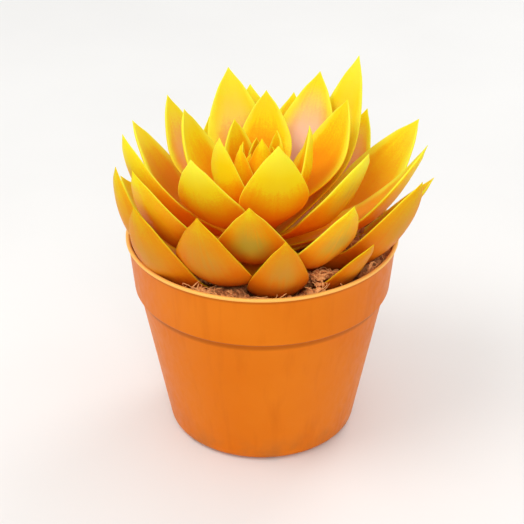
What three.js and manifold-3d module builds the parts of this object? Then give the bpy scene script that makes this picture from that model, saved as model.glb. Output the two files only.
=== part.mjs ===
// A potted echeveria: a rosette of thick painted leaves on a short stem,
// set deep in the coarse substrate of a round plastic nursery pot.
import * as THREE from 'three';
import { mergeVertices } from 'three/addons/utils/BufferGeometryUtils.js';
import Module from 'manifold-3d';

// Millimetres and degrees, +Z up, origin at the middle of the pot's flat underside.
// Turns are counted from +X towards +Y, and the front of the plant is at -90.

// Pot: a tapered body under a wider collar, with a small bead round the lip.
const POT_HEIGHT = 94;
const LIP_RADIUS = 60;
const BEAD_WIDTH = 0.9;
const BEAD_HEIGHT = 1.6;
const BEAD_SLOPE = 0.45;
const BEAD_FLAT = 0.4;
const COLLAR_HEIGHT = 24.2;
const COLLAR_FOOT_RADIUS = 56.8;
const SHOULDER_RADIUS = 54.9;
const SHOULDER_RISE = 1.2;
const BASE_RADIUS = 42;
const BASE_EDGE = 2;
const POT_WALL = 1.4;
const BASE_THICKNESS = 1.8;
const DRAIN_COUNT = 8;
const DRAIN_RADIUS = 4;
const DRAIN_RING_RADIUS = 30;
const DRAIN_SIDES = 16;
const POT_SIDES = 48;

// Substrate: fills the pot to just under the lip, with a hollow that the rosette sits in.
const CLEARANCE = 0.4;
const SOIL_DROP = 5;
const SOIL_LUMP = 0.6;
const LUMP_TURNS = 0.6;
const SWELL_TURNS = 0.25;
const HOLLOW_RADIUS = 40;
const HOLLOW_DEPTH = 22;
const HOLLOW_POWER = 0.8;
const SOIL_SIDES = 72;
const SOIL_RINGS = 14;
const LEAF_ROOM = 0.9;
const LEAF_ROOM_REACH = 3.4;
const FINE_STEPS = 24;

// Stem: short and slightly tapered, standing in a plain hole in the substrate.
const STEM_FOOT = -46;
const STEM_FOOT_RADIUS = 5.2;
const STEM_TOP = 9;
const STEM_SIDES = 16;

// Leaves: roots climb the stem from the oldest leaf to the youngest, and the few leaves
// that are younger still grow from its very top.
const SPIRAL_LEAVES = 38;
const ROOT_LOW = -22;
const ROOT_HIGH = 12;
const ROOT_RADIUS_LOW = 7.4;
const ROOT_RADIUS_HIGH = 3.6;
const LAUNCH_LOW = 6;
const LAUNCH_HIGH = 72;
const LAUNCH_POWER = 1.5;
const ROOT_HANDLE = 0.47;
const TIP_HANDLE = 0.52;
const WIDEST_AT = 0.6;
const ROOT_WIDTH = 0.25;
const ROOT_FLARE = 1.1;
const TIP_TAPER = 0.75;
const TIP_WIDTH = 0.9;
const LEAF_THICKNESS = 4.2;
const ROOT_THINNING = 0.42;
const FULL_THICKNESS_AT = 0.45;
const TIP_THINNING = 0.25;
const TIP_THINS_FROM = 0.5;
const TIP_THINS_POWER = 1.6;
const EDGE_THICKNESS = 1;
const KEEL_POWER = 2.2;
const FULL_ROLL_AT = 0.45;
const ROOT_CHANNEL = 0.17;
const TIP_CHANNEL = 0.105;
const STATIONS = [0, 0.12, 0.26, 0.4, 0.52, 0.64, 0.75, 0.85, 0.93, 1];
const ACROSS = [-1, -0.62, 0, 0.62, 1];

// Each leaf from the lowest to the youngest: its turn round the stem, how far out
// its tip reaches, how high the tip stands over the lip, its width, slope at the tip,
// and how far it is rolled about its midrib.
const LEAVES = [
  [92, 70, 22, 27, 52, 0],
  [-47, 66, 19, 23, 54, 0],
  [-139, 68, 34, 32, 74, 8],
  [2, 74.5, 24.5, 24, 50, -6],
  [167.5, 64, 20, 26, 56, 0],
  [-82, 67, 30, 25, 64, 0],
  [47, 71, 36, 28, 64, 0],
  [-158.5, 64.6, 42, 27, 84, 10],
  [-29, 74, 41, 27, 66, -22],
  [112, 66, 28, 28, 58, 0],
  [-113, 65, 37, 33, 76, 0],
  [22, 75, 41, 39, 54, 0],
  [157, 62, 42, 31, 60, 10],
  [-58, 68, 41, 27, 60, 0],
  [76, 61, 41, 28, 62, 0],
  [-138.2, 68.5, 50.4, 27, 68, 10],
  [-11, 70, 47, 35, 62, -8],
  [-94.5, 63, 43, 31, 68, 0],
  [45, 61, 65, 26, 70, 0],
  [-160, 60.5, 55.2, 22, 74, 24],
  [96, 52, 48, 28, 68, 0],
  [-39, 55, 53, 30, 62, 0],
  [141, 54, 50, 26, 72, 4],
  [61, 54, 56, 30, 68, 0],
  [-123.5, 51, 54, 29, 72, 8],
  [107, 52, 57, 28, 70, 0],
  [-81, 41, 59, 29, 82, 0],
  [30, 43, 53, 29, 74, 0],
  [162, 35, 53, 29, 80, 0],
  [87, 37, 51, 24, 76, 0],
  [-132, 26, 53, 18, 84, 0],
  [0, 20, 50, 21, 86, 0],
  [131, 18, 47, 18, 86, 0],
  [-90, 9, 48, 14, 90, 0],
  [45, 9, 45, 12, 90, 0],
  [-126, 15, 46, 11, 86, 0],
  [170, 8, 42, 10, 92, 0],
  [-20, 8, 43, 10, 92, 0],
  [112, 6, 42, 9, 98, 0],
  [-100, 6, 41, 9, 99, 0],
  [32, 5, 39, 8, 101, 0],
  [-155, 5, 38, 8, 102, 0],
];

// The youngest leaves, still closed round the growing point, hold together as one heart.
const HEART_LEAVES = 9;
const HEART_FOOT = STEM_TOP + CLEARANCE;
const HEART_SIDES = 10;
const HEART_CORE = [[3, 0], [5.4, 3], [6.6, 9], [5.8, 15], [0.5, 23]];

const wasm = await Module();
wasm.setup();

const radians = THREE.MathUtils.degToRad;
const mix = THREE.MathUtils.lerp;

// Solids

// Closes a row of rings, each with the same number of points, into one skin.
function loft(rings) {
  const count = rings[0].length;
  const points = rings.flat();
  const faces = [];
  for (let row = 0; row < rings.length - 1; row++) {
    for (let i = 0; i < count; i++) {
      const a = row * count + i;
      const b = row * count + ((i + 1) % count);
      faces.push(a, b, b + count, a, b + count, a + count);
    }
  }
  for (const row of [0, rings.length - 1]) {
    const middle = new THREE.Vector3();
    rings[row].forEach((point) => middle.addScaledVector(point, 1 / count));
    const hub = points.push(middle) - 1;
    for (let i = 0; i < count; i++) {
      const a = row * count + i;
      const b = row * count + ((i + 1) % count);
      faces.push(...(row === 0 ? [hub, b, a] : [hub, a, b]));
    }
  }
  const geometry = new THREE.BufferGeometry().setFromPoints(points);
  geometry.setIndex(faces);
  return geometry;
}

// A level ring of points round the pot's axis.
function ring(radius, height, sides) {
  return Array.from({ length: sides }, (_, i) => {
    const turn = 2 * Math.PI * i / sides;
    return new THREE.Vector3(radius * Math.cos(turn), radius * Math.sin(turn), height);
  });
}

function toSolid(geometry) {
  const bare = new THREE.BufferGeometry();
  bare.setAttribute('position', geometry.getAttribute('position'));
  bare.setIndex(geometry.getIndex());
  const closed = mergeVertices(bare);
  return new wasm.Manifold(new wasm.Mesh({
    numProp: 3,
    vertProperties: new Float32Array(closed.getAttribute('position').array),
    triVerts: new Uint32Array(closed.getIndex().array),
  }));
}

function toGeometry(solid) {
  const { vertProperties, triVerts } = solid.getMesh();
  const geometry = new THREE.BufferGeometry();
  geometry.setAttribute('position', new THREE.BufferAttribute(vertProperties, 3));
  geometry.setIndex(new THREE.BufferAttribute(triVerts, 1));
  return geometry;
}

// Leaves

// How far a leaf's root sits from the stem's axis, at a height over the lip.
function rootRadius(height) {
  const climb = (height - ROOT_LOW) / (ROOT_HIGH - ROOT_LOW);
  return mix(ROOT_RADIUS_LOW, ROOT_RADIUS_HIGH, climb);
}

// The midrib leaves the stem nearly level, lies low and then turns up to its tip.
function midrib(index) {
  const [turn, reach, rise, , slope] = LEAVES[index];
  const youth = Math.min(1, index / (SPIRAL_LEAVES - 1));
  const launch = radians(mix(LAUNCH_LOW, LAUNCH_HIGH, youth ** LAUNCH_POWER));
  const rootHeight = mix(ROOT_LOW, ROOT_HIGH, youth);
  const at = (out, up) => new THREE.Vector3(
    out * Math.cos(radians(turn)),
    out * Math.sin(radians(turn)),
    POT_HEIGHT + up,
  );
  const rootOut = rootRadius(rootHeight);
  const chord = Math.hypot(reach - rootOut, rise - rootHeight);
  return new THREE.CubicBezierCurve3(
    at(rootOut, rootHeight),
    at(
      rootOut + ROOT_HANDLE * chord * Math.cos(launch),
      rootHeight + ROOT_HANDLE * chord * Math.sin(launch),
    ),
    at(
      reach - TIP_HANDLE * chord * Math.cos(radians(slope)),
      rise - TIP_HANDLE * chord * Math.sin(radians(slope)),
    ),
    at(reach, rise),
  );
}

// Half width at a place along the leaf, from 0 at the root to 1 at the tip.
function halfWidth(along, width) {
  const share = along < WIDEST_AT
    ? mix(ROOT_WIDTH, 1, Math.sin(Math.PI / 2 * along / WIDEST_AT) ** ROOT_FLARE)
    : Math.sin(Math.PI / 2 * (1 - along) / (1 - WIDEST_AT)) ** TIP_TAPER;
  return Math.max(width / 2 * share, TIP_WIDTH / 2);
}

function thickness(along) {
  const fromRoot = mix(ROOT_THINNING, 1, Math.min(1, along / FULL_THICKNESS_AT));
  const pastMiddle = Math.max(0, along - TIP_THINS_FROM) / (1 - TIP_THINS_FROM);
  const toTip = mix(1, TIP_THINNING, pastMiddle ** TIP_THINS_POWER);
  return Math.max(LEAF_THICKNESS * fromRoot * toTip, EDGE_THICKNESS);
}

// Sections across the leaf: a shallow channel on top, a rounded keel below.
function leafRings(index, stations = STATIONS, across = ACROSS) {
  const [turn, , , width, , roll] = LEAVES[index];
  const curve = midrib(index);
  const level = new THREE.Vector3(-Math.sin(radians(turn)), Math.cos(radians(turn)), 0);
  return stations.map((along) => {
    const middle = curve.getPoint(along);
    const heading = curve.getTangent(along);
    const rolled = radians(roll) * Math.min(1, along / FULL_ROLL_AT);
    const sideways = level.clone().applyAxisAngle(heading, rolled);
    const up = new THREE.Vector3().crossVectors(heading, sideways);
    const half = halfWidth(along, width);
    const cup = half * mix(ROOT_CHANNEL, TIP_CHANNEL, along);
    const place = (side, height) => middle.clone()
      .addScaledVector(sideways, side * half)
      .addScaledVector(up, cup * side ** 2 + height);
    const bottom = across.map((side) => {
      const bulge = 1 - Math.abs(side) ** KEEL_POWER;
      return place(side, -mix(EDGE_THICKNESS, thickness(along), bulge));
    });
    const top = across.map((side) => place(side, 0));
    return [...bottom, ...top.reverse()];
  });
}

function leafGeometry(index) {
  return loft(leafRings(index));
}

function heartGeometry() {
  const core = HEART_CORE.map(([radius, up]) => ring(radius, POT_HEIGHT + HEART_FOOT + up, HEART_SIDES));
  let heart = toSolid(loft(core));
  for (let index = LEAVES.length - HEART_LEAVES; index < LEAVES.length; index++) {
    heart = heart.add(toSolid(leafGeometry(index)));
  }
  return toGeometry(heart);
}

function stemGeometry() {
  const besideLeaves = [ROOT_LOW, (ROOT_LOW + STEM_TOP) / 2, STEM_TOP];
  return loft([
    ring(STEM_FOOT_RADIUS, POT_HEIGHT + STEM_FOOT, STEM_SIDES),
    ...besideLeaves.map((up) => ring(rootRadius(up) - CLEARANCE, POT_HEIGHT + up, STEM_SIDES)),
  ]);
}

// Pot and substrate

// Outer radius of the pot's body and of its collar at a height over the underside.
function bodyRadius(height) {
  return mix(BASE_RADIUS, SHOULDER_RADIUS, height / (POT_HEIGHT - COLLAR_HEIGHT));
}

function collarRadius(height) {
  return mix(LIP_RADIUS - BEAD_WIDTH, COLLAR_FOOT_RADIUS, (POT_HEIGHT - height) / COLLAR_HEIGHT);
}

function potGeometry() {
  const collarFoot = POT_HEIGHT - COLLAR_HEIGHT;
  const beadFoot = POT_HEIGHT - BEAD_HEIGHT;
  const profile = [
    [0, 0],
    [BASE_RADIUS - BASE_EDGE, 0],
    [bodyRadius(BASE_EDGE), BASE_EDGE],
    [SHOULDER_RADIUS, collarFoot - SHOULDER_RISE],
    [COLLAR_FOOT_RADIUS, collarFoot],
    [collarRadius(beadFoot), beadFoot],
    [LIP_RADIUS, beadFoot + BEAD_SLOPE],
    [LIP_RADIUS, POT_HEIGHT - BEAD_FLAT],
    [LIP_RADIUS - BEAD_FLAT, POT_HEIGHT],
    [LIP_RADIUS - POT_WALL, POT_HEIGHT],
    [LIP_RADIUS - BEAD_WIDTH - POT_WALL, beadFoot],
    [COLLAR_FOOT_RADIUS - POT_WALL, collarFoot],
    [SHOULDER_RADIUS - POT_WALL, collarFoot - SHOULDER_RISE],
    [bodyRadius(BASE_THICKNESS) - POT_WALL, BASE_THICKNESS],
    [0, BASE_THICKNESS],
  ].map(([radius, height]) => new THREE.Vector2(radius, height));
  let pot = toSolid(new THREE.LatheGeometry(profile, POT_SIDES).rotateX(Math.PI / 2));
  for (let i = 0; i < DRAIN_COUNT; i++) {
    const turn = 2 * Math.PI * i / DRAIN_COUNT;
    const drain = new THREE.CylinderGeometry(DRAIN_RADIUS, DRAIN_RADIUS, 4 * BASE_THICKNESS, DRAIN_SIDES);
    drain.rotateX(Math.PI / 2);
    drain.translate(DRAIN_RING_RADIUS * Math.cos(turn), DRAIN_RING_RADIUS * Math.sin(turn), 0);
    pot = pot.subtract(toSolid(drain));
  }
  return toGeometry(pot);
}

// Height that the substrate may reach at x, y: lumpy near the pot's wall, hollow under
// the rosette, and everywhere below the leaves that lie over it.
const fineSteps = Array.from({ length: FINE_STEPS + 1 }, (_, i) => i / FINE_STEPS);
const undersides = LEAVES
  .flatMap((_, index) => leafRings(index, fineSteps, fineSteps.map((step) => 2 * step - 1)))
  .flatMap((points) => points.slice(0, fineSteps.length))
  .filter((point) => point.z < POT_HEIGHT + SOIL_DROP);

function soilHeight(x, y) {
  const radius = Math.hypot(x, y);
  const lumps = Math.sin(x * LUMP_TURNS) * Math.cos(y * LUMP_TURNS) + Math.sin((x - y) * SWELL_TURNS);
  const hollow = HOLLOW_DEPTH * Math.max(0, 1 - radius / HOLLOW_RADIUS) ** HOLLOW_POWER;
  let height = POT_HEIGHT - SOIL_DROP + SOIL_LUMP * lumps - hollow;
  for (const point of undersides) {
    if (Math.hypot(point.x - x, point.y - y) < LEAF_ROOM_REACH) {
      height = Math.min(height, point.z - LEAF_ROOM);
    }
  }
  return height;
}

function soilGeometry() {
  const collarFoot = POT_HEIGHT - COLLAR_HEIGHT;
  const inside = POT_WALL + CLEARANCE;
  const floor = BASE_THICKNESS + CLEARANCE;
  const edge = POT_HEIGHT - SOIL_DROP;
  const hole = ROOT_RADIUS_LOW;
  const wall = collarRadius(edge) - inside;
  const rings = [
    ring(bodyRadius(floor) - inside, floor, SOIL_SIDES),
    ring(SHOULDER_RADIUS - inside, collarFoot - SHOULDER_RISE, SOIL_SIDES),
    ring(COLLAR_FOOT_RADIUS - inside, collarFoot + CLEARANCE, SOIL_SIDES),
  ];
  for (let i = 0; i < SOIL_RINGS; i++) {
    const radius = mix(wall, hole + CLEARANCE, i / (SOIL_RINGS - 1));
    const level = ring(radius, 0, SOIL_SIDES);
    level.forEach((point) => point.setZ(soilHeight(point.x, point.y)));
    rings.push(level);
  }
  rings.push(ring(hole, POT_HEIGHT + STEM_FOOT - CLEARANCE, SOIL_SIDES));
  return loft(rings);
}

// The plant in its pot

const plastic = new THREE.MeshStandardMaterial({ color: '#e07f24', roughness: 0.5, metalness: 0 });
const peat = new THREE.MeshStandardMaterial({ color: '#7a4a30', roughness: 1, metalness: 0 });
const bark = new THREE.MeshStandardMaterial({ color: '#8a8154', roughness: 0.9, metalness: 0 });
const outerLeaf = new THREE.MeshStandardMaterial({ color: '#f09a1c', roughness: 0.45, metalness: 0 });
const innerLeaf = new THREE.MeshStandardMaterial({ color: '#f5c61e', roughness: 0.45, metalness: 0 });

const plant = new THREE.Group();

function addPiece(name, geometry, material) {
  const piece = new THREE.Mesh(geometry, material);
  piece.name = name;
  plant.add(piece);
}

addPiece('pot', potGeometry(), plastic);
addPiece('substrate', soilGeometry(), peat);
addPiece('stem', stemGeometry(), bark);
const openLeaves = LEAVES.length - HEART_LEAVES;
for (let index = 0; index < openLeaves; index++) {
  const name = `leaf_${String(index + 1).padStart(2, '0')}`;
  addPiece(name, leafGeometry(index), index < openLeaves / 2 ? outerLeaf : innerLeaf);
}
addPiece('heart', heartGeometry(), innerLeaf);

export default plant;
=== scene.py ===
import math

import bpy
import numpy as np
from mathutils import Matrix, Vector, noise
from mathutils.kdtree import KDTree


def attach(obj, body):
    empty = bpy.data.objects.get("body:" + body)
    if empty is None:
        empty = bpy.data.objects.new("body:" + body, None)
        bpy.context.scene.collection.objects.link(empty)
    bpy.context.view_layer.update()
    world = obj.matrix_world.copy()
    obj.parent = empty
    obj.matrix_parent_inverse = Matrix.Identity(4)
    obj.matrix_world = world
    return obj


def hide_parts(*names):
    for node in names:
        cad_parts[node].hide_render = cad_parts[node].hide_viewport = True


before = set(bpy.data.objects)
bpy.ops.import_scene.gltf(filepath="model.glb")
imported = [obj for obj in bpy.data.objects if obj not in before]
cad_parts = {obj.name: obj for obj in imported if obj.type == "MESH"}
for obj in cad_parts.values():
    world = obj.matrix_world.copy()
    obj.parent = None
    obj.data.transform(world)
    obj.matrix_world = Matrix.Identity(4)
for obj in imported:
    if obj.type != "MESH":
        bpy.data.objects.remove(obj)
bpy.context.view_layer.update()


# Pot
# A round nursery pot, moulded in one piece of satin orange plastic. A collar with a beaded
# lip stands out over the tapered body, and water leaves by round holes in the underside.

MM = 0.001
LIP_HEIGHT = 94 * MM
LIP_RADIUS = 60 * MM
BEAD_WIDTH = 0.9 * MM
BEAD_HEIGHT = 1.6 * MM
COLLAR_HEIGHT = 24.2 * MM
COLLAR_FOOT_RADIUS = 56.8 * MM
SHOULDER_RADIUS = 54.9 * MM
SHOULDER_RISE = 1.2 * MM
BASE_RADIUS = 42 * MM
BASE_EDGE = 2 * MM
POT_WALL = 1.4 * MM
BASE_THICKNESS = 1.8 * MM
DRAIN_COUNT = 8
DRAIN_RADIUS = 4 * MM
DRAIN_RING_RADIUS = 30 * MM
DRAIN_SIDES = 32
POT_SIDES = 192
POT_WARP = 0.2 * MM
FILLET_SHARE = 0.45
COLLAR_FOOT = LIP_HEIGHT - COLLAR_HEIGHT
BEAD_FOOT = LIP_HEIGHT - BEAD_HEIGHT


def mix(low, high, share):
    return low + (high - low) * share


def body_radius(height):
    return mix(BASE_RADIUS, SHOULDER_RADIUS, height / COLLAR_FOOT)


def collar_radius(height):
    return mix(LIP_RADIUS - BEAD_WIDTH, COLLAR_FOOT_RADIUS, (LIP_HEIGHT - height) / COLLAR_HEIGHT)


def rounded(corners, steps=5):
    """Points of an outline of (x, y, fillet) corners, each corner turned as a small curve."""
    points = []
    for i, (x, y, fillet) in enumerate(corners):
        corner = Vector((x, y))
        if fillet == 0:
            points.append(corner)
            continue
        before = Vector(corners[i - 1][:2]) - corner
        after = Vector(corners[(i + 1) % len(corners)][:2]) - corner
        start = corner + before.normalized() * min(fillet, before.length * FILLET_SHARE)
        end = corner + after.normalized() * min(fillet, after.length * FILLET_SHARE)
        for step in range(steps + 1):
            t = step / steps
            points.append(start * (1 - t) ** 2 + corner * 2 * t * (1 - t) + end * t ** 2)
    return points


def mesh_object(name, vertices, faces, smooth=True):
    mesh = bpy.data.meshes.new(name)
    mesh.from_pydata([tuple(v) for v in vertices], [], [tuple(f) for f in faces])
    mesh.validate()
    mesh.polygons.foreach_set("use_smooth", [smooth] * len(mesh.polygons))
    made = bpy.data.objects.new(name, mesh)
    bpy.context.scene.collection.objects.link(made)
    return made


def ring_faces(rows, count):
    """Quads between rows of rings that have the same number of points."""
    faces = []
    for row in range(rows - 1):
        here = row * count
        above = here + count
        for i in range(count):
            beside = (i + 1) % count
            faces.append((here + i, here + beside, above + beside, above + i))
    return faces


def spun(name, profile, sides):
    """A closed solid turned round Z. The profile starts and ends on the axis, outside first."""
    rim = profile[1:-1]
    vertices = [
        (r * math.cos(2 * math.pi * i / sides), r * math.sin(2 * math.pi * i / sides), z)
        for r, z in rim
        for i in range(sides)
    ]
    faces = ring_faces(len(rim), sides)
    last = (len(rim) - 1) * sides
    low = len(vertices)
    vertices += [(0, 0, profile[0][1]), (0, 0, profile[-1][1])]
    faces += [(low, (i + 1) % sides, i) for i in range(sides)]
    faces += [(low + 1, last + i, last + (i + 1) % sides) for i in range(sides)]
    return mesh_object(name, vertices, faces)


def apply_modifiers(piece):
    graph = bpy.context.evaluated_depsgraph_get()
    final = bpy.data.meshes.new_from_object(piece.evaluated_get(graph))
    piece.modifiers.clear()
    piece.data = final


# The wall's outline from the middle of the underside, up the outside and down the inside:
# distance from the axis, height and fillet.
pot_corners = [
    (0, 0, 0),
    (BASE_RADIUS - BASE_EDGE, 0, 1.5 * MM),
    (body_radius(BASE_EDGE), BASE_EDGE, 1.5 * MM),
    (SHOULDER_RADIUS, COLLAR_FOOT - SHOULDER_RISE, 0.5 * MM),
    (COLLAR_FOOT_RADIUS, COLLAR_FOOT, 0.7 * MM),
    (collar_radius(BEAD_FOOT), BEAD_FOOT, 0.35 * MM),
    (LIP_RADIUS, BEAD_FOOT + 0.25 * MM, 0.45 * MM),
    (LIP_RADIUS, LIP_HEIGHT, 0.6 * MM),
    (LIP_RADIUS - POT_WALL, LIP_HEIGHT, 0.5 * MM),
    (LIP_RADIUS - BEAD_WIDTH - POT_WALL, BEAD_FOOT, 0.8 * MM),
    (COLLAR_FOOT_RADIUS - POT_WALL, COLLAR_FOOT, 0.6 * MM),
    (SHOULDER_RADIUS - POT_WALL, COLLAR_FOOT - SHOULDER_RISE, 0.5 * MM),
    (body_radius(BASE_THICKNESS) - POT_WALL, BASE_THICKNESS, 1.2 * MM),
    (0, BASE_THICKNESS, 0),
]
pot = spun("nursery_pot", rounded(pot_corners), POT_SIDES)

for vertex in pot.data.vertices:
    turn = math.atan2(vertex.co.y, vertex.co.x)
    out = POT_WARP * math.sin(3 * turn + 0.6) * (vertex.co.z / LIP_HEIGHT) ** 2
    vertex.co.x += out * math.cos(turn)
    vertex.co.y += out * math.sin(turn)

bit_top = 2 * BASE_THICKNESS
bit_profile = [(0, -MM), (DRAIN_RADIUS, -MM), (DRAIN_RADIUS, bit_top), (0, bit_top)]
for i in range(DRAIN_COUNT):
    turn = 2 * math.pi * i / DRAIN_COUNT
    bit = spun("drain_bit", bit_profile, DRAIN_SIDES)
    bit.location = (DRAIN_RING_RADIUS * math.cos(turn), DRAIN_RING_RADIUS * math.sin(turn), 0)
    bit.rotation_euler = (0, 0, turn + math.pi / DRAIN_SIDES)
    drain = pot.modifiers.new("drain", "BOOLEAN")
    drain.operation = "DIFFERENCE"
    drain.object = bit
    apply_modifiers(pot)
    bpy.data.objects.remove(bit)


def new_material(name, roughness):
    made = bpy.data.materials.new(name)
    made.use_nodes = True
    shader = made.node_tree.nodes["Principled BSDF"]
    shader.inputs["Roughness"].default_value = roughness
    return made, made.node_tree, shader


def add_node(tree, kind, sockets=(), **settings):
    """A shader node with its settings, and with values or links in its input sockets."""
    made = tree.nodes.new("ShaderNode" + kind)
    for key, value in settings.items():
        setattr(made, key, value)
    for key, value in dict(sockets).items():
        if isinstance(value, bpy.types.NodeSocket):
            tree.links.new(value, made.inputs[key])
        else:
            made.inputs[key].default_value = value
    return made


def mixed(tree, share, below, above, blend="MIX"):
    """Colour below where share is 0 and above where it is 1."""
    sockets = {0: share, 6: below, 7: above}
    return add_node(tree, "Mix", sockets, data_type="RGBA", blend_type=blend).outputs[2]


def spread(tree, value, low, high, to_low=0.0, to_high=1.0):
    """A value from low to high, spread over another range and held inside it."""
    sockets = {"Value": value, "From Min": low, "From Max": high, "To Min": to_low, "To Max": to_high}
    return add_node(tree, "MapRange", sockets).outputs[0]


def maths(tree, operation, a, b=0.0):
    return add_node(tree, "Math", {0: a, 1: b}, operation=operation).outputs[0]


def total(tree, value, *others):
    for other in others:
        value = maths(tree, "ADD", value, other)
    return value


def product(tree, value, *factors):
    for factor in factors:
        value = maths(tree, "MULTIPLY", value, factor)
    return value


def band(tree, value, low, full_from, full_to, high):
    """1 between full_from and full_to, fading to 0 at low and at high."""
    return product(tree, spread(tree, value, low, full_from), spread(tree, value, high, full_to))


def object_place(tree):
    return add_node(tree, "TexCoord").outputs["Object"]


def grain(tree, scale, detail=3.0, stretch=(1, 1, 1)):
    """Noise fixed to the piece, with about scale lumps to the metre."""
    placed = add_node(tree, "Mapping", {"Vector": object_place(tree), "Scale": stretch}).outputs[0]
    return add_node(tree, "TexNoise", {"Vector": placed, "Scale": scale, "Detail": detail}).outputs[0]


def raise_bump(tree, shader, height, distance, strength=1.0):
    bump = add_node(tree, "Bump", {"Height": height, "Distance": distance, "Strength": strength})
    tree.links.new(bump.outputs[0], shader.inputs["Normal"])


POT_ORANGE = (0.72, 0.168, 0.004, 1)
POT_PALE = (0.76, 0.195, 0.008, 1)
POT_DEEP = (0.60, 0.125, 0.003, 1)
# Painted highlight colour for the top of the lip.
LIP_HIGHLIGHT = (1.0, 0.56, 0.14, 1)
# Painted shade colour for the lines under the bead and under the collar.
PAINTED_SHADE_BROWN = (0.42, 0.09, 0.004, 1)
SOIL_DUST = (0.30, 0.11, 0.035, 1)
DUST_HEIGHT = 16 * MM

plastic, tree, shader = new_material("orange_pot_plastic", 0.42)
clouds = grain(tree, 22, 4)
streaks = grain(tree, 160, 3, (1, 1, 0.08))
scuffs = grain(tree, 420, 5, (1, 1, 0.5))
height = add_node(tree, "SeparateXYZ", {0: object_place(tree)}).outputs[2]
# Painted highlight: a paler band along the top of the lip, set by height.
painted_lip_highlight = spread(tree, height, LIP_HEIGHT - 1.7 * MM, LIP_HEIGHT - 0.8 * MM)
# Painted shade: a dark line just under the bead of the lip.
shade_under_bead = band(
    tree, height,
    LIP_HEIGHT - 3.2 * MM, LIP_HEIGHT - 2.2 * MM, LIP_HEIGHT - 1.7 * MM, LIP_HEIGHT - 1.2 * MM,
)
# Painted shade: a dark band under the collar's foot, where the collar overhangs the body.
shade_under_collar = band(
    tree, height,
    COLLAR_FOOT - 4.2 * MM, COLLAR_FOOT - 2.6 * MM, COLLAR_FOOT - 0.2 * MM, COLLAR_FOOT + 0.4 * MM,
)
dusted = product(tree, spread(tree, height, DUST_HEIGHT, 0.0), spread(tree, grain(tree, 90), 0.42, 0.7))
colour = POT_ORANGE
for share, coat in (
    (spread(tree, clouds, 0.38, 0.68), POT_PALE),
    (spread(tree, streaks, 0.52, 0.8, 0, 0.5), POT_DEEP),
    (spread(tree, scuffs, 0.66, 0.78, 0, 0.35), POT_PALE),
    (product(tree, painted_lip_highlight, 0.9), LIP_HIGHLIGHT),
    (product(tree, shade_under_bead, 0.6), PAINTED_SHADE_BROWN),
    (product(tree, shade_under_collar, 0.75), PAINTED_SHADE_BROWN),
    (product(tree, dusted, 0.5), SOIL_DUST),
):
    colour = mixed(tree, share, colour, coat)
tree.links.new(colour, shader.inputs["Base Color"])
tree.links.new(spread(tree, scuffs, 0.3, 0.75, 0.34, 0.52), shader.inputs["Roughness"])
shader.inputs["Specular IOR Level"].default_value = 0.13
shader.inputs["Specular Tint"].default_value = (1.0, 0.6, 0.22, 1)
shader.inputs["Subsurface Weight"].default_value = 0.08
shader.inputs["Subsurface Radius"].default_value = (2 * MM, 0.8 * MM, 0.3 * MM)
shader.inputs["Subsurface Scale"].default_value = 1
raise_bump(tree, shader, total(tree, grain(tree, 900, 2), streaks), 0.05 * MM, 0.6)

pot.data.materials.clear()
pot.data.materials.append(plastic)
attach(pot, "root")
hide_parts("pot")


# Leaves
# Thick pointed leaves, channelled above and keeled below, grown round the stem in a spiral
# from the oldest and lowest to the youngest. They are sprayed orange first and then yellow
# from above, so tips and edges are yellow, and some green shows where no paint reached.

SPIRAL_LEAVES = 38
ROOT_LOW = -22 * MM
ROOT_HIGH = 12 * MM
ROOT_RADIUS_LOW = 7.4 * MM
ROOT_RADIUS_HIGH = 3.6 * MM
LAUNCH_LOW = math.radians(6)
LAUNCH_HIGH = math.radians(72)
LAUNCH_POWER = 1.5
ROOT_HANDLE = 0.47
TIP_HANDLE = 0.52
WIDEST_AT = 0.6
ROOT_WIDTH = 0.25
ROOT_FLARE = 1.1
TIP_TAPER = 0.75
TIP_WIDTH = 0.9 * MM
LEAF_THICKNESS = 4.2 * MM
ROOT_THINNING = 0.42
FULL_THICKNESS_AT = 0.45
TIP_THINNING = 0.25
TIP_THINS_FROM = 0.5
TIP_THINS_POWER = 1.6
EDGE_THICKNESS = 1 * MM
KEEL_POWER = 2.2
FULL_ROLL_AT = 0.45
ROOT_CHANNEL = 0.17
TIP_CHANNEL = 0.105

LEAF_STATIONS = 56
STATION_POWER = 0.9
LEAF_SIDES = 44
LEAF_SEED = 100
POINT_FROM = 0.93
POINT_THINS_FROM = 0.95
POINT_WIDTH = 0.25 * MM
KEEL_RIDGE = 0.3 * MM
KEEL_RIDGE_WIDTH = 0.16
GROOVE_SHARE = 0.4
EDGE_SHARE = 0.95
MARGIN_WAVE = 0.22 * MM
LONG_WAVE_TURNS = 7
SHORT_WAVE_TURNS = 13
TIP_TWIST = math.radians(2.5)

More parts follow.
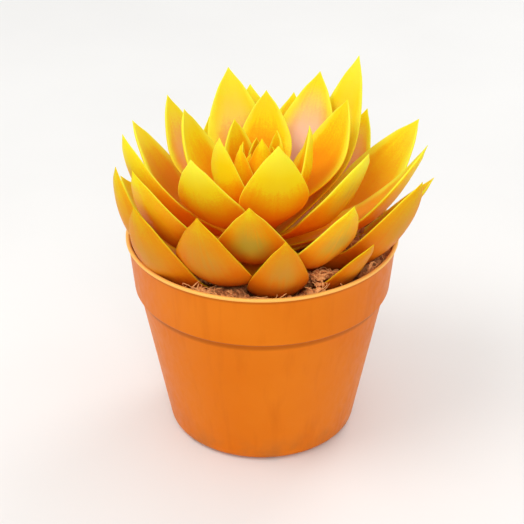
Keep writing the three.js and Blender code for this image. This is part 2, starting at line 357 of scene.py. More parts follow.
# Turn, reach, rise over the lip, width, slope at the tip and roll about the midrib, in
# degrees and millimetres; then the paint: how yellow, how peach inside, and how much green shows through.
LEAVES = [
    (92, 70, 22, 27, 52, 0, 0.26, 0.1, 0.10),
    (-47, 66, 19, 23, 54, 0, -0.10, 0.0, 0.45),
    (-139, 68, 34, 32, 74, 8, 0.0, 0.0, 0.25),
    (2, 74.5, 24.5, 24, 50, -6, 0.25, 0.0, 0.10),
    (167.5, 64, 20, 26, 56, 0, 0.30, 0.1, 0.20),
    (-82, 67, 30, 25, 64, 0, -0.13, 0.0, 0.50),
    (47, 71, 36, 28, 64, 0, 0.30, 0.9, 0.00),
    (-158.5, 64.6, 42, 27, 84, 10, 0.14, 0.3, 0.20),
    (-29, 74, 41, 27, 66, -22, 0.10, 0.0, 0.30),
    (112, 66, 28, 28, 58, 0, 0.35, 0.2, 0.10),
    (-113, 65, 37, 33, 76, 0, -0.08, 0.0, 0.45),
    (22, 75, 41, 39, 54, 0, 0.40, 0.0, 0.00),
    (157, 62, 42, 31, 60, 10, 0.40, 0.0, 0.10),
    (-58, 68, 41, 27, 60, 0, 0.30, 0.0, 0.75),
    (76, 61, 41, 28, 62, 0, 0.35, 0.3, 0.00),
    (-138.2, 68.5, 50.4, 27, 68, 10, 0.26, 0.0, 0.10),
    (-11, 70, 47, 35, 62, -8, 0.40, 0.0, 0.30),
    (-94.5, 63, 43, 31, 68, 0, 0.12, 0.0, 0.85),
    (45, 61, 65, 26, 70, 0, 0.66, 0.1, 0.00),
    (-160, 60.5, 55.2, 22, 74, 24, 0.40, 0.0, 0.15),
    (96, 52, 48, 28, 68, 0, 0.50, 0.5, 0.00),
    (-39, 55, 53, 30, 62, 0, 0.62, 0.0, 0.60),
    (141, 54, 50, 26, 72, 4, 0.42, 0.4, 0.00),
    (61, 54, 56, 30, 68, 0, 0.42, 1.0, 0.00),
    (-123.5, 51, 54, 29, 72, 8, 0.62, 0.0, 0.10),
    (107, 52, 57, 28, 70, 0, 0.56, 0.3, 0.00),
    (-81, 41, 59, 29, 82, 0, 0.58, 0.0, 0.05),
    (30, 43, 53, 29, 74, 0, 0.34, 0.0, 0.00),
    (162, 35, 53, 29, 80, 0, 0.54, 0.0, 0.05),
    (87, 37, 51, 24, 76, 0, 0.42, 0.0, 0.10),
    (-132, 26, 53, 18, 84, 0, 0.62, 0.0, 0.00),
    (0, 20, 50, 21, 86, 0, 0.66, 0.0, 0.00),
    (131, 18, 47, 18, 86, 0, 0.38, 0.0, 0.00),
    (-90, 9, 48, 14, 90, 0, 0.12, 0.0, 0.00),
    (45, 9, 45, 12, 90, 0, 0.30, 0.0, 0.00),
    (-126, 15, 46, 11, 86, 0, 0.15, 0.0, 0.00),
    (170, 8, 42, 10, 92, 0, 0.20, 0.0, 0.00),
    (-20, 8, 43, 10, 92, 0, 0.20, 0.0, 0.00),
    (112, 6, 42, 9, 98, 0, 0.20, 0.0, 0.00),
    (-100, 6, 41, 9, 99, 0, 0.10, 0.0, 0.00),
    (32, 5, 39, 8, 101, 0, 0.10, 0.0, 0.00),
    (-155, 5, 38, 8, 102, 0, 0.05, 0.0, 0.00),
]
OPEN_LEAVES = 33


def root_radius(height):
    """How far a root sits from the stem's axis, at a height over the lip."""
    return mix(ROOT_RADIUS_LOW, ROOT_RADIUS_HIGH, (height - ROOT_LOW) / (ROOT_HIGH - ROOT_LOW))


def midrib(index, along):
    """Middle of the leaf's upper face, its sideways direction and its normal, at shares of its length."""
    turn, reach, rise, _, slope, roll = LEAVES[index][:6]
    youth = min(1, index / (SPIRAL_LEAVES - 1))
    launch = mix(LAUNCH_LOW, LAUNCH_HIGH, youth ** LAUNCH_POWER)
    lean = math.radians(slope)
    root = np.array([root_radius(mix(ROOT_LOW, ROOT_HIGH, youth)), mix(ROOT_LOW, ROOT_HIGH, youth)])
    tip = np.array([reach, rise]) * MM
    chord = math.dist(root, tip)
    rooted = root + ROOT_HANDLE * chord * np.array([math.cos(launch), math.sin(launch)])
    tipped = tip - TIP_HANDLE * chord * np.array([math.cos(lean), math.sin(lean)])
    t = along[:, None]
    place = root * (1 - t) ** 3 + rooted * 3 * t * (1 - t) ** 2 + tipped * 3 * t ** 2 * (1 - t) + tip * t ** 3
    heading = (rooted - root) * (1 - t) ** 2 + (tipped - rooted) * 2 * t * (1 - t) + (tip - tipped) * t ** 2
    heading /= np.linalg.norm(heading, axis=1)[:, None]
    outward = np.array([math.cos(math.radians(turn)), math.sin(math.radians(turn)), 0])
    upward = np.array([0, 0, 1])
    middle = place[:, :1] * outward + (place[:, 1:] + LIP_HEIGHT) * upward
    unrolled = heading[:, :1] * upward - heading[:, 1:] * outward
    level = np.array([-outward[1], outward[0], 0])
    rolled = math.radians(roll) * np.minimum(1, t / FULL_ROLL_AT)
    sideways = level * np.cos(rolled) + unrolled * np.sin(rolled)
    normal = unrolled * np.cos(rolled) - level * np.sin(rolled)
    return middle, sideways, normal


def half_width(along, width):
    rising = mix(ROOT_WIDTH, 1, np.sin(np.pi / 2 * np.minimum(along / WIDEST_AT, 1)) ** ROOT_FLARE)
    falling = np.sin(np.pi / 2 * np.clip((1 - along) / (1 - WIDEST_AT), 0, 1)) ** TIP_TAPER
    return np.maximum(width / 2 * np.where(along < WIDEST_AT, rising, falling), TIP_WIDTH / 2)


def thickness(along):
    from_root = mix(ROOT_THINNING, 1, np.minimum(1, along / FULL_THICKNESS_AT))
    past_middle = np.maximum(0, along - TIP_THINS_FROM) / (1 - TIP_THINS_FROM)
    to_tip = mix(1, TIP_THINNING, past_middle ** TIP_THINS_POWER)
    return np.maximum(LEAF_THICKNESS * from_root * to_tip, EDGE_THICKNESS)


def leaf_mesh(index):
    """Vertices, faces and paint coordinates of one leaf."""
    width = LEAVES[index][3] * MM
    own = np.random.default_rng(LEAF_SEED + index)
    phase = own.uniform(0, 2 * np.pi, 4)
    twist = own.uniform(-1, 1) * TIP_TWIST
    along = np.linspace(0, 1, LEAF_STATIONS) ** STATION_POWER
    middle, sideways, normal = midrib(index, along)
    from_tip = np.clip((1 - along) / (1 - POINT_FROM), 0, 1)
    half = half_width(np.minimum(along, POINT_FROM), width) * from_tip
    half = np.maximum(half, POINT_WIDTH / 2)[:, None]
    thinned = np.clip((along - POINT_THINS_FROM) / (1 - POINT_THINS_FROM), 0, 1)
    thick = mix(thickness(along), POINT_WIDTH, thinned)[:, None]
    edge = np.minimum(EDGE_THICKNESS, thick * EDGE_SHARE) / 2
    angle = 2 * np.pi * np.arange(LEAF_SIDES) / LEAF_SIDES
    side = np.cos(angle)[None, :]
    under = (np.sin(angle) < -1e-6)[None, :]
    cup = half * mix(ROOT_CHANNEL, TIP_CHANNEL, along)[:, None]
    into_edge = np.clip((np.abs(side) - 1) * half / edge + 1, 0, 1)
    roundness = edge * (1 - np.sqrt(1 - into_edge ** 2))
    bulge = 1 - np.abs(side) ** KEEL_POWER
    length = np.sin(np.pi * along)[:, None]
    ridge = KEEL_RIDGE * np.exp(-((side / KEEL_RIDGE_WIDTH) ** 2)) * length
    rows_along = along[:, None]
    long_wave = side ** 2 * np.sin(LONG_WAVE_TURNS * rows_along + phase[0])
    short_wave = np.abs(side) ** 3 * np.sin(SHORT_WAVE_TURNS * rows_along + phase[1] + side)
    wave = MARGIN_WAVE * length * (long_wave + short_wave)
    turned = half * side * math.sin(twist) * rows_along ** 2
    lower = mix(2 * edge, thick, bulge) + ridge - roundness
    height = cup * side ** 2 + wave + turned - np.where(under, lower, roundness + GROOVE_SHARE * ridge)
    points = (
        middle[:, None, :]
        + (side * half)[:, :, None] * sideways[:, None, :]
        + height[:, :, None] * normal[:, None, :]
    ).reshape(-1, 3)
    rows = len(along)
    faces = ring_faces(rows, LEAF_SIDES)
    last = (rows - 1) * LEAF_SIDES
    faces.append(tuple(range(LEAF_SIDES))[::-1])
    faces.append(tuple(last + i for i in range(LEAF_SIDES)))
    paint = np.stack([
        np.repeat(along, LEAF_SIDES),
        np.tile(side[0], rows),
        np.tile(np.where(under[0], 1.0, 0.0), rows),
    ], axis=1)
    return points, faces, paint


def store(mesh, name, rows):
    """Keeps three numbers at each vertex, for the material to read."""
    kept = mesh.attributes.new(name, "FLOAT_VECTOR", "POINT")
    kept.data.foreach_set("vector", np.asarray(rows, dtype=np.float32).ravel())


def leaf_piece(name, index):
    points, faces, paint = leaf_mesh(index)
    leaf = mesh_object(name, points, faces)
    store(leaf.data, "paint", paint)
    store(leaf.data, "tint", np.tile(LEAVES[index][6:], (len(points), 1)))
    leaf.data.materials.append(sprayed_leaf)
    return leaf


SPRAY_BURNT = (0.84, 0.18, 0.003, 1)
SPRAY_ORANGE = (0.87, 0.25, 0.004, 1)
SPRAY_AMBER = (0.87, 0.345, 0.004, 1)
SPRAY_GOLD = (0.87, 0.50, 0.006, 1)
SPRAY_LEMON = (0.88, 0.70, 0.01, 1)
EDGE_LEMON = (0.89, 0.86, 0.07, 1)
PEACH = (0.96, 0.60, 0.42, 1)
THIN_TAN = (0.62, 0.34, 0.06, 1)
BARE_OLIVE = (0.56, 0.35, 0.03, 1)
# Painted shade tint for the undersides of the outer leaves, and how far from the stem it starts and is full.
UNDERSIDE_SHADE_TINT = (0.80, 0.80, 0.60, 1)
UNDERSIDE_SHADE_FROM = 14 * MM
UNDERSIDE_SHADE_FULLY = 30 * MM


def uneven(tree, texture, amount):
    """Up to amount more or less, as the texture goes."""
    return spread(tree, texture, 0.3, 0.7, -amount, amount)


sprayed_leaf, tree, shader = new_material("sprayed_leaf", 0.48)
paint = add_node(tree, "Attribute", attribute_name="paint").outputs["Vector"]
along, side, under = add_node(tree, "SeparateXYZ", {0: paint}).outputs
tint = add_node(tree, "Attribute", attribute_name="tint").outputs["Vector"]
yellow, peach, green = add_node(tree, "SeparateXYZ", {0: tint}).outputs
from_middle = maths(tree, "ABSOLUTE", side)
mottle = grain(tree, 110, 4)
drift = grain(tree, 38, 3)
fine = grain(tree, 1400, 3)
upper = maths(tree, "SUBTRACT", 1.0, under)
streaks = add_node(tree, "TexNoise", {
    "Vector": add_node(tree, "Mapping", {"Vector": paint, "Scale": (1.6, 9, 1)}).outputs[0],
    "Scale": 1.0, "Detail": 4.0, "W": product(tree, yellow, 40.0),
}, noise_dimensions="4D").outputs[0]
facing_sky = add_node(tree, "SeparateXYZ", {0: add_node(tree, "NewGeometry").outputs["Normal"]}).outputs[2]

# How far the yellow coat has covered the orange one: most at the tip and on the upper face's
# sides, least where the underside faces down, and more on the leaves that are yellow in the table.
level = total(
    tree,
    product(tree, along, 1.3),
    product(tree, yellow, 0.75),
    -0.42,
    product(tree, upper, -0.06),
    product(tree, under, spread(tree, facing_sky, -0.7, -0.1, -0.3, 0.04)),
    uneven(tree, drift, 0.08),
    uneven(tree, streaks, 0.05),
    uneven(tree, mottle, 0.04),
    uneven(tree, fine, 0.06),
)
level = maths(tree, "MAXIMUM", level, product(tree, upper, 0.52))
upper_side = spread(tree, total(tree, from_middle, uneven(tree, drift, 0.08)), 0.55, 0.85)
under_side = spread(tree, from_middle, 0.35, 1.0)
level = total(
    tree, level,
    product(tree, upper_side, upper, 0.3),
    product(tree, under_side, under, -0.16),
)
coats = add_node(tree, "ValToRGB", {0: level})
ramp = coats.color_ramp
ramp.elements[0].position = 0.12
ramp.elements[0].color = SPRAY_BURNT
ramp.elements[1].position = 0.34
ramp.elements[1].color = SPRAY_ORANGE
for position, coat in ((0.62, SPRAY_AMBER), (0.84, SPRAY_GOLD), (1.0, SPRAY_LEMON)):
    ramp.elements.new(position).color = coat
colour = coats.outputs[0]

# Thin paint inside some leaves, where their own peach colour shows.
inner = product(tree, spread(tree, from_middle, 0.9, 0.3), spread(tree, along, 0.95, 0.7), upper)
colour = mixed(tree, product(tree, inner, peach), colour, PEACH)

# Patches that the paint missed, mostly under the leaves.
patches = total(tree, drift, product(tree, streaks, 0.5))
missed = product(
    tree,
    spread(tree, from_middle, 0.8, 0.25),
    band(tree, along, 0.56, 0.76, 0.8, 0.99),
    spread(tree, under, 0, 1, 0.25, 1),
    spread(tree, patches, 0.55, 0.8),
    spread(tree, green, 0, 1, 0, 1.2),
)
colour = mixed(tree, missed, colour, mixed(tree, spread(tree, green, 0.5, 0.9), THIN_TAN, BARE_OLIVE))

# Lemon margins and points, weaker on the leaves with little yellow.
margin = product(
    tree,
    spread(tree, total(tree, from_middle, uneven(tree, mottle, 0.05)), 0.7, 0.95),
    spread(tree, along, 0.35, 0.8, 0.05, 0.85),
    spread(tree, yellow, -0.05, 0.35, 0.25, 1),
    spread(tree, upper, 0, 1, 0.08, 1),
)
point = product(tree, spread(tree, along, 0.84, 1.0), spread(tree, yellow, 0.3, 0.7))
colour = mixed(tree, maths(tree, "MAXIMUM", margin, point), colour, EDGE_LEMON)

# Painted shade: darker, duller undersides on the older, outer leaves with little yellow, which stand away
# from the stem.
flat_place = add_node(tree, "Mapping", {"Vector": object_place(tree), "Scale": (1, 1, 0)}).outputs[0]
from_stem = add_node(tree, "VectorMath", {0: flat_place}, operation="LENGTH").outputs["Value"]
painted_underside_shade = product(
    tree, under, spread(tree, yellow, 0.34, 0.05), spread(tree, from_stem, UNDERSIDE_SHADE_FROM, UNDERSIDE_SHADE_FULLY),
)
colour = mixed(tree, painted_underside_shade, colour, UNDERSIDE_SHADE_TINT, "MULTIPLY")
tree.links.new(colour, shader.inputs["Base Color"])
tree.links.new(spread(tree, mottle, 0.3, 0.75, 0.4, 0.55), shader.inputs["Roughness"])
shader.inputs["Specular IOR Level"].default_value = 0.11
shader.inputs["Specular Tint"].default_value = (1.0, 0.78, 0.3, 1)
shader.inputs["Subsurface Weight"].default_value = 0.35
shader.inputs["Subsurface Radius"].default_value = (4 * MM, 2 * MM, 0.3 * MM)
shader.inputs["Subsurface Scale"].default_value = 1
raise_bump(tree, shader, total(tree, fine, product(tree, mottle, 2.0)), 0.06 * MM, 0.5)

for index in range(OPEN_LEAVES):
    node_name = f"leaf_{index + 1:02d}"
    leaf = leaf_piece(f"painted_{node_name}", index)
    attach(leaf, "root")
    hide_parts(node_name)


# Heart
# The youngest leaves, still closed round the growing point on top of the stem. They have
# grown together at their feet, so they are one piece, sprayed with the open leaves.

CLEARANCE = 0.4 * MM
STEM_TOP = 9 * MM
HEART_FOOT = LIP_HEIGHT + STEM_TOP + CLEARANCE
HEART_CORE = [(3, 0), (5.4, 3), (6.6, 9), (5.8, 15), (0.5, 23)]
HEART_CORE_TOP = 23.1 * MM
HEART_FILLET = 2 * MM
HEART_SIDES = 40
HEART_PAINT_FROM = 0.3
HEART_PAINT_LENGTH = 60 * MM

core_corners = [(0, HEART_FOOT, 0)]
core_corners += [(radius * MM, HEART_FOOT + up * MM, HEART_FILLET) for radius, up in HEART_CORE]
core_corners += [(0, HEART_FOOT + HEART_CORE_TOP, 0)]
heart = spun("painted_heart", rounded(core_corners), HEART_SIDES)

# Places on the core and on each bud leaf, with the paint that the grown-together heart has there.
painted = []
for vertex in heart.data.vertices:
    up_heart = HEART_PAINT_FROM + (vertex.co.z - HEART_FOOT) / HEART_PAINT_LENGTH
    painted.append((vertex.co.copy(), (up_heart, 0, 0), LEAVES[OPEN_LEAVES][6:]))
for index in range(OPEN_LEAVES, len(LEAVES)):
    points, _, paint_rows = leaf_mesh(index)
    painted += [(Vector(point), tuple(row), LEAVES[index][6:]) for point, row in zip(points, paint_rows)]
    bud = leaf_piece("bud_leaf", index)
    union = heart.modifiers.new("grown_together", "BOOLEAN")
    union.operation = "UNION"
    union.object = bud
    apply_modifiers(heart)
    bpy.data.objects.remove(bud)
nearest = KDTree(len(painted))
for place, (point, _, _) in enumerate(painted):
    nearest.insert(point, place)
nearest.balance()
matches = [painted[nearest.find(vertex.co)[1]] for vertex in heart.data.vertices]
for name, column in (("paint", 1), ("tint", 2)):
    if name in heart.data.attributes:
        heart.data.attributes.remove(heart.data.attributes[name])
    store(heart.data, name, [match[column] for match in matches])
heart.data.materials.clear()
heart.data.materials.append(sprayed_leaf)
heart.data.polygons.foreach_set("use_smooth", [True] * len(heart.data.polygons))
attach(heart, "root")
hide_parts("heart")


# Stem
# A short woody stem between the leaves, with the scars of older leaves round it. Its foot
# stands in a plain hole in the substrate.

STEM_FOOT = -46 * MM
STEM_FOOT_RADIUS = 5.2 * MM
STEM_ROWS = 70
STEM_SIDES = 40
SCAR_DEPTH = 0.35 * MM
SCAR_PITCH = 2.6 * MM
SCAR_NARROWNESS = 8

stem_profile = [(0, LIP_HEIGHT + STEM_FOOT)]
for i in range(STEM_ROWS):
    up = mix(STEM_FOOT, STEM_TOP, i / (STEM_ROWS - 1))
    if up < ROOT_LOW:
        share = (up - STEM_FOOT) / (ROOT_LOW - STEM_FOOT)
        radius = mix(STEM_FOOT_RADIUS, root_radius(ROOT_LOW) - CLEARANCE, share)
    else:
        radius = root_radius(up) - CLEARANCE
    scar = SCAR_DEPTH * math.sin(math.pi * up / SCAR_PITCH) ** SCAR_NARROWNESS
    stem_profile.append((radius - scar, LIP_HEIGHT + up))
stem_profile.append((0, LIP_HEIGHT + STEM_TOP))
stem = spun("woody_stem", stem_profile, STEM_SIDES)

STEM_BARK = (0.16, 0.12, 0.06, 1)
STEM_GREEN = (0.30, 0.30, 0.12, 1)
stem_bark, tree, shader = new_material("stem_bark", 0.85)
rough_bark = grain(tree, 260, 5, (1, 1, 0.3))
colour = mixed(tree, spread(tree, rough_bark, 0.35, 0.65), STEM_BARK, STEM_GREEN)
tree.links.new(colour, shader.inputs["Base Color"])
raise_bump(tree, shader, rough_bark, 0.3 * MM)
stem.data.materials.append(stem_bark)
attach(stem, "root")
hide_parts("stem")


# Substrate
# Coarse coir and bark with crumbs of peat, poured round the stem to just under the lip.
# Spray that missed the leaves has turned its top orange, and curled fibres lie on it.

SOIL_DROP = 5 * MM
SOIL_LUMP = 0.6 * MM
LUMP_TURNS = 0.6 / MM
SWELL_TURNS = 0.25 / MM
HOLLOW_RADIUS = 40 * MM
HOLLOW_DEPTH = 22 * MM
HOLLOW_POWER = 0.8
LEAF_ROOM = 0.9 * MM
LEAF_ROOM_REACH = 1.5 * MM
BED_RINGS = 70
BED_SIDES = 220
CRUMB_HEIGHT = 0.5 * MM
SHADED_CRUMB_HEIGHT = 0.3 * CRUMB_HEIGHT
CRUMB_SIZE = 2.2 * MM
FINE_CRUMB_SIZE = 0.9 * MM
FINE_CRUMB_SHARE = 0.5
SHADE_SIZE = 3 * MM
LOW_LEAF_HEIGHT = 12 * MM
CELL = 1 * MM
CELLS = 64
LAYER = 0.5 * MM
LAYERS = 70
LOWEST_LAYER = LIP_HEIGHT - 28 * MM
FAR_ABOVE = 1.0
FAR_BELOW = -1.0

# A grid of small boxes over the bed: which of them a leaf fills, and the lowest leaf over each.
layers = LOWEST_LAYER + LAYER * np.arange(LAYERS)
filled = np.zeros((2 * CELLS + 1, 2 * CELLS + 1, LAYERS), dtype=bool)
ceiling = np.full((2 * CELLS + 1, 2 * CELLS + 1), FAR_ABOVE)
for index in range(len(LEAVES)):
    points, _, _ = leaf_mesh(index)
    low = points[points[:, 2] < LIP_HEIGHT + LOW_LEAF_HEIGHT]
    cells = np.clip(np.rint(low[:, :2] / CELL).astype(int) + CELLS, 0, 2 * CELLS)
    np.minimum.at(ceiling, (cells[:, 0], cells[:, 1]), low[:, 2])
    bottom = np.full(ceiling.shape, FAR_ABOVE)
    top = np.full(ceiling.shape, FAR_BELOW)
    for dx, dy in ((0, 0), (1, 0), (-1, 0), (0, 1), (0, -1)):
        near = (np.clip(cells[:, 0] + dx, 0, 2 * CELLS), np.clip(cells[:, 1] + dy, 0, 2 * CELLS))
        np.minimum.at(bottom, near, low[:, 2])
        np.maximum.at(top, near, low[:, 2])
    filled |= (layers > bottom[:, :, None] - LAYER) & (layers < top[:, :, None] + LAYER)


def cell_of(x, y):
    return (
        min(max(int(round(x / CELL)) + CELLS, 0), 2 * CELLS),
        min(max(int(round(y / CELL)) + CELLS, 0), 2 * CELLS),
    )


def is_free(x, y, z, reach=0):
    """Whether a crumb at x, y, z would keep out of every leaf."""
    layer = int(round((z - LOWEST_LAYER) / LAYER))
    if not 1 <= layer < LAYERS - 1:
        return False
    places = ((0, 0), (reach, 0), (-reach, 0), (0, reach), (0, -reach))
    return not any(filled[cell_of(x + dx, y + dy)][layer - 1:layer + 2].any() for dx, dy in places)


def lowest_within(reach):
    """The lowest leaf over each cell and the cells within reach of it."""
    span = int(math.ceil(reach / CELL))
    lowest = ceiling.copy()
    for dx in range(-span, span + 1):
        for dy in range(-span, span + 1):
            if math.hypot(dx, dy) * CELL <= reach:
                lowest = np.minimum(lowest, np.roll(ceiling, (dx, dy), (0, 1)))
    return lowest


over_bed = lowest_within(LEAF_ROOM_REACH)


def open_height(x, y):
    """Height of the bed where no leaf lies over it."""
    radius = math.hypot(x, y)
    lumps = math.sin(x * LUMP_TURNS) * math.cos(y * LUMP_TURNS) + math.sin((x - y) * SWELL_TURNS)
    hollow = HOLLOW_DEPTH * max(0, 1 - radius / HOLLOW_RADIUS) ** HOLLOW_POWER
    return LIP_HEIGHT - SOIL_DROP + SOIL_LUMP * lumps - hollow


def bed_height(x, y):
    crumbs = noise.noise(Vector((x, y, 0)) / CRUMB_SIZE)
    crumbs += FINE_CRUMB_SHARE * noise.noise(Vector((x, y, MM)) / FINE_CRUMB_SIZE)
    level = open_height(x, y) + CRUMB_HEIGHT * crumbs
    under_leaf = over_bed[cell_of(x, y)] - LEAF_ROOM + SHADED_CRUMB_HEIGHT * crumbs
    return min(level, under_leaf)


def level_ring(radius, height):
    turns = [2 * math.pi * i / BED_SIDES for i in range(BED_SIDES)]
    return [(radius * math.cos(turn), radius * math.sin(turn), height) for turn in turns]


inside = POT_WALL + CLEARANCE
bed_floor = BASE_THICKNESS + CLEARANCE
bed_edge = collar_radius(LIP_HEIGHT - SOIL_DROP) - inside
hole_edge = ROOT_RADIUS_LOW + CLEARANCE
rings = [
    level_ring(body_radius(bed_floor) - inside, bed_floor),
    level_ring(SHOULDER_RADIUS - inside, COLLAR_FOOT - SHOULDER_RISE),
    level_ring(COLLAR_FOOT_RADIUS - inside, COLLAR_FOOT + CLEARANCE),
]
for i in range(BED_RINGS):
    flat = level_ring(mix(bed_edge, hole_edge, i / (BED_RINGS - 1)), 0)
    rings.append([(x, y, bed_height(x, y)) for x, y, _ in flat])
rings.append(level_ring(ROOT_RADIUS_LOW, LIP_HEIGHT + STEM_FOOT - CLEARANCE))
vertices = [point for level in rings for point in level]
faces = ring_faces(len(rings), BED_SIDES)
faces.append(tuple(range(BED_SIDES))[::-1])
faces.append(tuple((len(rings) - 1) * BED_SIDES + i for i in range(BED_SIDES)))
shades = [(0.25 + 0.3 * noise.noise(Vector(point) / SHADE_SIZE), 0, 0) for point in vertices]

# Places where the crumbs are heaped higher: x, y, radius and extra height in millimetres.
HEAPS = [(24, -42, 11, 5), (46, -34, 8, 2.5), (-20, -51, 14, 2), (4, -55, 12, 1.5)]

# Clumps of tangled fibres: x, y and radius in millimetres, and the number of fibres.
CLUMPS = [(26, -43, 6, 36), (47, -33, 4, 12), (-30, -49, 5, 10), (8, -54, 6, 10)]
CLUMP_SPREAD = 2.5
CLUMP_CHIP_LIFT = 0.5 * MM

CHIP_COUNT = 1500
HEAP_COUNT = 9000
HEAP_FROM = 26 * MM
HEAP_DEPTH = 5 * MM
HEAP_RISE = 1.8 * MM
HEAP_SIZE = 9 * MM
HEAP_FINENESS = 1.5
CHIP_FROM = 12 * MM
CHIP_LIFT = 0.3 * MM
CHIP_SMALL = 0.6 * MM
CHIP_LARGE = 2.4 * MM
CHIP_FINENESS = 2.5
CHIP_ROWS = ((-0.8, 0.6), (0.1, 1.0), (0.85, 0.5))
CHIP_SIDES = 5
FIBRE_COUNT = 420
FIBRE_FROM = 25 * MM
FIBRE_TO = 56 * MM
FIBRE_STEP = 0.9 * MM
FIBRE_THIN = 0.13 * MM
FIBRE_THICK = 0.26 * MM
FIBRE_SIDES = 5
FEWEST_STEPS = 5
HOLE_ROOM = 2 * MM
WALL_ROOM = 0.3 * MM
SOIL_SEED = 7

soil = np.random.default_rng(SOIL_SEED)
wall_inside = bed_edge - WALL_ROOM


def heaped(x, y):
    heights = [
        height * MM * math.exp(-((x / MM - heap_x) ** 2 + (y / MM - heap_y) ** 2) / size ** 2)
        for heap_x, heap_y, size, height in HEAPS
    ]
    return max(heights)


def add_chip(x, y, z, size):
    """A crumb or a flat chip of bark with its middle at x, y, z."""
    stretch = np.array([soil.uniform(0.7, 1.5), soil.uniform(0.5, 0.9), soil.uniform(0.35, 0.75)]) * size
    reach = float(stretch.max())
    if math.hypot(x, y) + reach > wall_inside or math.hypot(x, y) - reach < hole_edge:
        return
    if not is_free(x, y, z, reach):
        return
    turns = soil.uniform(0, 2 * np.pi, 2)
    tilt = soil.uniform(-0.6, 0.6)
    first = len(vertices)
    shade = (float(soil.uniform(0.1, 1.0)), float(soil.uniform(0, 1)), 0)
    for up, radius in CHIP_ROWS:
        for k in range(CHIP_SIDES):
            angle = turns[0] + k * 2 * math.pi / CHIP_SIDES
            out = radius * soil.uniform(0.7, 1.2)
            local = stretch * np.array([out * math.cos(angle), out * math.sin(angle), up])
            px = local[0] * math.cos(turns[1]) - local[1] * math.sin(turns[1])
            py = local[0] * math.sin(turns[1]) + local[1] * math.cos(turns[1])
            vertices.append((x + px, y + py, z + local[2] + tilt * px))
            shades.append(shade)
    last = first + (len(CHIP_ROWS) - 1) * CHIP_SIDES
    faces.extend(tuple(first + i for i in face) for face in ring_faces(len(CHIP_ROWS), CHIP_SIDES))
    faces.append(tuple(first + i for i in range(CHIP_SIDES - 1, -1, -1)))
    faces.append(tuple(last + i for i in range(CHIP_SIDES)))


def add_fibre(x, y, length, curl, lift):
    """A curled coir fibre that lies on the soil from x, y and ends where it meets a leaf."""
    steps = max(FEWEST_STEPS + 1, int(length / FIBRE_STEP))
    heading = soil.uniform(0, 2 * np.pi)
    turning = curl * soil.choice([-1, 1])
    radius = soil.uniform(FIBRE_THIN, FIBRE_THICK)
    path = []
    for i in range(steps + 1):
        turning += soil.uniform(-0.12, 0.12)
        heading += turning
        x += length / steps * math.cos(heading)
        y += length / steps * math.sin(heading)
        out = math.hypot(x, y)
        if out > wall_inside - radius:
            x, y = x * (wall_inside - radius) / out, y * (wall_inside - radius) / out
            heading += 0.5
        arch = lift * math.sin(math.pi * i / steps) + soil.uniform(0, 0.3) * MM
        z = open_height(x, y) + heaped(x, y) + arch + radius
        if out < hole_edge + HOLE_ROOM or not is_free(x, y, z):
            break
        path.append(np.array([x, y, z]))
    if len(path) < FEWEST_STEPS:
        return
    first = len(vertices)
    shade = (float(soil.uniform(0.5, 1.0)), 1.0, 0)
    for i, point in enumerate(path):
        ahead = path[min(i + 1, len(path) - 1)] - path[max(i - 1, 0)]
        ahead /= max(np.linalg.norm(ahead), 1e-9)
        across = np.cross(ahead, [0, 0, 1])
        across /= max(np.linalg.norm(across), 1e-9)
        over = np.cross(across, ahead)
        taper = radius * (0.35 + 0.65 * math.sin(math.pi * (0.08 + 0.84 * i / len(path))))
        for k in range(FIBRE_SIDES):
            angle = 2 * math.pi * k / FIBRE_SIDES
            vertices.append(tuple(point + taper * (math.cos(angle) * across + math.sin(angle) * over)))
            shades.append(shade)
    faces.extend(tuple(first + i for i in face[::-1]) for face in ring_faces(len(path), FIBRE_SIDES))
    last = first + (len(path) - 1) * FIBRE_SIDES
    faces.append(tuple(first + i for i in range(FIBRE_SIDES)))
    faces.append(tuple(last + i for i in range(FIBRE_SIDES - 1, -1, -1)))


def place_in_ring(inner, outer):
    turn = soil.uniform(0, 2 * np.pi)
    out = math.sqrt(soil.uniform(inner ** 2, outer ** 2))
    return out * math.cos(turn), out * math.sin(turn)


for _ in range(CHIP_COUNT):
    x, y = place_in_ring(CHIP_FROM, wall_inside)
    size = mix(CHIP_SMALL, CHIP_LARGE, soil.uniform(0, 1) ** CHIP_FINENESS)
    add_chip(x, y, bed_height(x, y) + CHIP_LIFT, size)
for _ in range(HEAP_COUNT):
    x, y = place_in_ring(HEAP_FROM, wall_inside)
    rise = HEAP_RISE * noise.noise(Vector((x, y, 0)) / HEAP_SIZE) + heaped(x, y)
    z = open_height(x, y) + rise - soil.uniform(0, 1) * HEAP_DEPTH
    if z > bed_height(x, y):
        add_chip(x, y, z, mix(CHIP_SMALL, CHIP_LARGE, soil.uniform(0, 1) ** HEAP_FINENESS))
for _ in range(FIBRE_COUNT):
    x, y = place_in_ring(FIBRE_FROM, FIBRE_TO)
    add_fibre(x, y, soil.uniform(6, 18) * MM, soil.uniform(0.05, 0.25), soil.uniform(0.2, 1.6) * MM)
for clump_x, clump_y, clump_size, clump_fibres in CLUMPS:
    for _ in range(clump_fibres):
        x = (clump_x + soil.normal(0, clump_size / CLUMP_SPREAD)) * MM
        y = (clump_y + soil.normal(0, clump_size / CLUMP_SPREAD)) * MM
        add_fibre(x, y, soil.uniform(8, 20) * MM, soil.uniform(0.25, 0.5), soil.uniform(1, 4.5) * MM)
        z = open_height(x, y) + heaped(x, y) + CLUMP_CHIP_LIFT
        add_chip(x, y, z, soil.uniform(0.8, 1.8) * MM)

substrate = mesh_object("coir_substrate", vertices, faces, smooth=False)
store(substrate.data, "crumb", shades)

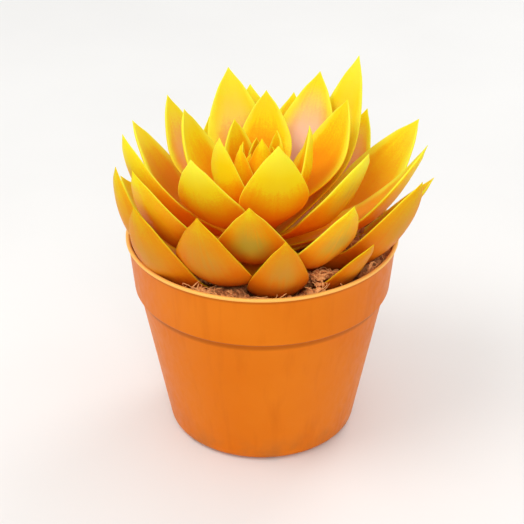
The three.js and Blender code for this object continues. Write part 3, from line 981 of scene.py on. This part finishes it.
PEAT_DARK = (0.30, 0.085, 0.022, 1)
PEAT_BROWN = (0.95, 0.41, 0.15, 1)
COIR_ORANGE = (0.98, 0.51, 0.18, 1)
coir, tree, shader = new_material("coir_and_bark", 0.85)
crumb = add_node(tree, "Attribute", attribute_name="crumb").outputs["Vector"]
shade, spray, _ = add_node(tree, "SeparateXYZ", {0: crumb}).outputs
speckle = grain(tree, 700, 4)
speckled = total(tree, shade, uneven(tree, speckle, 0.2))
colour = mixed(tree, spread(tree, speckled, 0.1, 0.7), PEAT_DARK, PEAT_BROWN)
upward = add_node(tree, "SeparateXYZ", {0: add_node(tree, "NewGeometry").outputs["Normal"]}).outputs[2]
sprayed = product(
    tree,
    spread(tree, upward, -0.3, 0.7, 0.2, 0.95),
    spread(tree, shade, 0.1, 0.5),
    spread(tree, spray, 0, 1, 0.75, 1.1),
)
colour = mixed(tree, sprayed, colour, COIR_ORANGE)
tree.links.new(colour, shader.inputs["Base Color"])
raise_bump(tree, shader, speckle, 0.25 * MM)
substrate.data.materials.append(coir)
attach(substrate, "root")
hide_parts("substrate")


# Floor, light and camera
# A pale plain floor under a wide soft light from above, as in a bright greenhouse, and a
# camera that looks down on the plant from the front.

FLOOR_SIZE = 6
FLOOR_GREY = (0.80, 0.80, 0.80, 1)
FLOOR_PALE = (0.83, 0.83, 0.83, 1)
floor = mesh_object(
    "floor",
    [(x * FLOOR_SIZE / 2, y * FLOOR_SIZE / 2, 0) for x, y in ((-1, -1), (1, -1), (1, 1), (-1, 1))],
    [(0, 1, 2, 3)],
)
floor_paint, tree, shader = new_material("pale_floor", 0.7)
colour = mixed(tree, spread(tree, grain(tree, 6), 0.3, 0.7), FLOOR_GREY, FLOOR_PALE)
tree.links.new(colour, shader.inputs["Base Color"])
floor.data.materials.append(floor_paint)

sky = bpy.data.worlds.new("soft_sky")
bpy.context.scene.world = sky
sky.use_nodes = True
sky.node_tree.nodes["Background"].inputs["Color"].default_value = (1.0, 0.99, 0.97, 1)
sky.node_tree.nodes["Background"].inputs["Strength"].default_value = 0.82


def soft_light(name, place, aim, size, power, tone=(1, 1, 1)):
    lamp = bpy.data.lights.new(name, "AREA")
    lamp.shape = "DISK"
    lamp.size = size
    lamp.energy = power
    lamp.color = tone
    made = bpy.data.objects.new(name, lamp)
    made.location = place
    made.rotation_euler = (Vector(aim) - Vector(place)).to_track_quat("-Z", "Y").to_euler()
    bpy.context.scene.collection.objects.link(made)


PLANT_MIDDLE = (0, 0, 0.11)
soft_light("key_light", (-0.5, -0.25, 1.0), PLANT_MIDDLE, 0.6, 3.6, (1.0, 0.98, 0.94))
soft_light("front_light", (0.05, -0.9, 0.6), PLANT_MIDDLE, 0.4, 2.0)
soft_light("back_light", (0.5, 0.7, 0.9), PLANT_MIDDLE, 0.5, 2.5)

VIEW_FROM = (0, -0.5449, 0.382)
VIEW_AT = (0, 0, 0.078)
FOCAL_PIXELS = 1400
PICTURE_PIXELS = 524
lens = bpy.data.cameras.new("camera")
lens.sensor_width = 36
lens.lens = FOCAL_PIXELS / PICTURE_PIXELS * lens.sensor_width
camera = bpy.data.objects.new("camera", lens)
camera.location = VIEW_FROM
camera.rotation_euler = (Vector(VIEW_AT) - Vector(VIEW_FROM)).to_track_quat("-Z", "Y").to_euler()
bpy.context.scene.collection.objects.link(camera)
bpy.context.scene.camera = camera
bpy.context.scene.view_settings.view_transform = "Standard"
